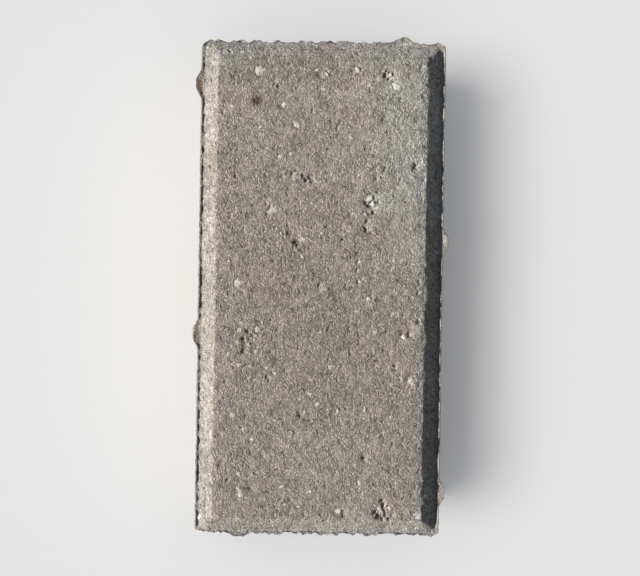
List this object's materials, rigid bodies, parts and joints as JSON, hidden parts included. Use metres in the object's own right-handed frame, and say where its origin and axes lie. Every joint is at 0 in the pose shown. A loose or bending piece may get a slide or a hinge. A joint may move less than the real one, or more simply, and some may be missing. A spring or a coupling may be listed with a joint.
{
  "type": "concrete paving stone",
  "caption": "Rectangular pressed concrete block paver with a bevelled wearing face, a narrow land round it and upright spacer nibs on its sides.",
  "frame": {"origin": "on the bed plane, under the middle of the stone", "axes": "+Z from the bed up to the wearing face, +Y along the stone, +X across it"},
  "size_m": [0.102, 0.202, 0.06],
  "materials": {
    "concrete": "rough pressed concrete, open grained, weathered warm grey"
  },
  "bodies": {
    "root": {"paving_stone": "concrete"}
  },
  "joints": []
}
